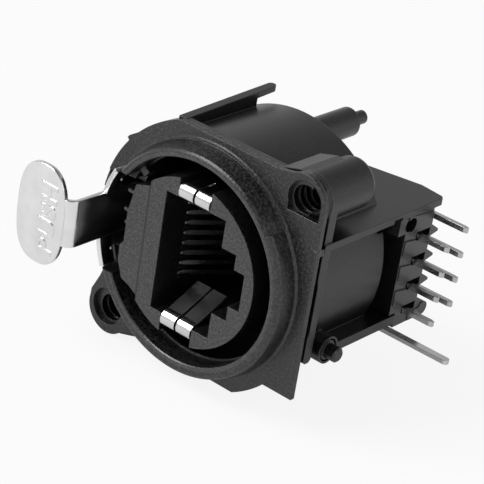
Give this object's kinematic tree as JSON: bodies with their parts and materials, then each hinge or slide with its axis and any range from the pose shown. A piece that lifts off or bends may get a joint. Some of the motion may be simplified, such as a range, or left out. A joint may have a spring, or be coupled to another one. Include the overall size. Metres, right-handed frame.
{
  "type": "panel mount modular jack receptacle",
  "caption": "Black round panel receptacle with a modular jack inside, a sprung metal push latch, diagonal screw lugs and solder tails for a circuit board.",
  "frame": {"origin": "on the axis of the round mouth, at the front face of the flange", "axes": "-Y out of the mouth, towards the user; -X towards the latch tab; +X towards the circuit board; +Z along the board, towards the upper screw lug"},
  "size_m": [0.0349, 0.0257, 0.0246],
  "materials": {
    "shell_plastic": "fine moulded texture, glass filled",
    "insert_plastic": "fine moulded texture, slightly smoother",
    "tinned_contact": "bright tin plating",
    "shield_sheet": "bright nickel plated spring sheet",
    "latch_steel": "polished sheet steel with tumbled edges",
    "pin_steel": "ground pin"
  },
  "bodies": {
    "housing": {"front_flange": "shell_plastic", "rear_housing": "shell_plastic", "jack_insert": "insert_plastic", "contact_block": "insert_plastic", "pin_carrier": "insert_plastic", "contact_1": "tinned_contact", "contact_2": "tinned_contact", "contact_3": "tinned_contact", "contact_4": "tinned_contact", "contact_5": "tinned_contact", "contact_6": "tinned_contact", "contact_7": "tinned_contact", "contact_8": "tinned_contact", "shield_spring_upper": "shield_sheet", "shield_spring_lower": "shield_sheet", "latch_pin": "pin_steel", "latch_spring": "shield_sheet"},
    "latch": {"latch": "latch_steel"}
  },
  "joints": [
    {"name": "latch_hinge", "type": "hinge", "parent": "housing", "child": "latch", "pos_m": [-0.01015, 0.0073, 0.0003], "axis": [0, 0, -1], "range_deg": [0, 6], "stiffness_Nm_per_rad": 0.06, "springref_deg": -22.92, "deforming": ["latch_spring"]}
  ]
}
